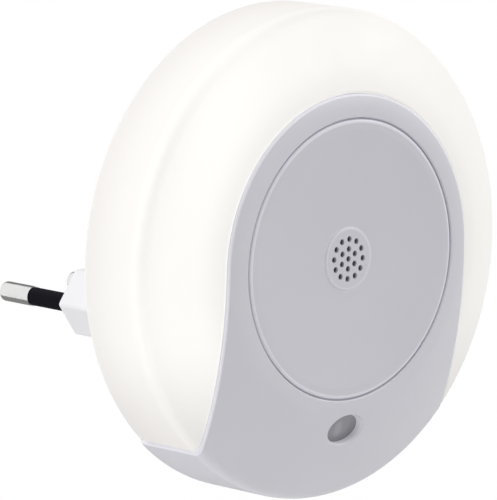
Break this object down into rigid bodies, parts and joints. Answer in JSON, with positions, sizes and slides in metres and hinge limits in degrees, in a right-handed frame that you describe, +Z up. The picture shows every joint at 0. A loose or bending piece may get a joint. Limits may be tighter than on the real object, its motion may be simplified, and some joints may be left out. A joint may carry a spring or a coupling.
{
  "type": "plug-in night light",
  "caption": "Round plug-in night light: opal light ring, grey front with a dished press button, microphone grille and light sensor, and a mains plug on a tapered rear tower.",
  "frame": {"origin": "middle of the plug's face, halfway between the two pins where they leave the plug", "axes": "+Y along the pins into the wall socket, +Z up, the lamp's front faces -Y"},
  "size_m": [0.094, 0.0895, 0.0941],
  "materials": {
    "grey_plastic": "satin moulded plastic, light grey",
    "button_plastic": "satin moulded plastic, light grey",
    "opal_plastic": "opal translucent plastic, glossy",
    "white_plastic": "white moulded plastic",
    "nickel_plate": "nickel-plated brass, turned",
    "black_sleeve": "black insulating sleeve",
    "dark_felt": "felt",
    "spring_steel": "bright spring steel",
    "capsule_aluminium": "drawn aluminium can",
    "boot_rubber": "soft black rubber",
    "component_black": "black moulding compound",
    "plunger_plastic": "red plunger",
    "smoked_lens": "smoked translucent window",
    "clear_epoxy": "clear epoxy",
    "board_laminate": "green solder mask",
    "led_phosphor": "white LED with yellow phosphor",
    "reflector_white": "white reflective plastic",
    "capacitor_yellow": "yellow film capacitor box",
    "capacitor_sleeve": "dark shrink sleeve",
    "resistor_coat": "cement coat",
    "varistor_coat": "blue epoxy coat",
    "wire_brown": "brown wire insulation",
    "wire_blue": "blue wire insulation",
    "screw_steel": "zinc-plated steel"
  },
  "bodies": {
    "lamp_body": {"front_housing": "grey_plastic", "diffuser": "opal_plastic", "rear_cover": "white_plastic", "plug_body": "white_plastic", "pin_left": "nickel_plate", "pin_right": "nickel_plate", "pin_sleeve_left": "black_sleeve", "pin_sleeve_right": "black_sleeve", "return_spring": "spring_steel", "microphone": "capsule_aluminium", "microphone_boot": "boot_rubber", "switch_base": "component_black", "sensor_lens": "smoked_lens", "light_sensor": "clear_epoxy", "main_board": "board_laminate", "leds": "led_phosphor", "reflector": "reflector_white", "film_capacitor": "capacitor_yellow", "electrolytic_capacitor": "capacitor_sleeve", "bridge_rectifier": "component_black", "fusible_resistor": "resistor_coat", "controller_chip": "component_black", "varistor": "varistor_coat", "live_wire": "wire_brown", "neutral_wire": "wire_blue", "housing_screws": "screw_steel"},
    "button": {"front_button": "button_plastic", "acoustic_mesh": "dark_felt", "button_clips": "spring_steel"},
    "plunger": {"switch_plunger": "plunger_plastic"}
  },
  "joints": [
    {"name": "button_press", "type": "slide", "parent": "lamp_body", "child": "button", "axis": [0, 1, 0], "range_m": [0, 0.0006], "stiffness_N_per_m": 900, "springref_m": -0.0012, "deforming": ["return_spring"]},
    {"name": "plunger_press", "type": "slide", "parent": "lamp_body", "child": "plunger", "axis": [0, 1, 0], "range_m": [0, 0.0006]}
  ],
  "couplings": [
    {"joint": "plunger_press", "follows": "button_press", "ratio": 1}
  ]
}
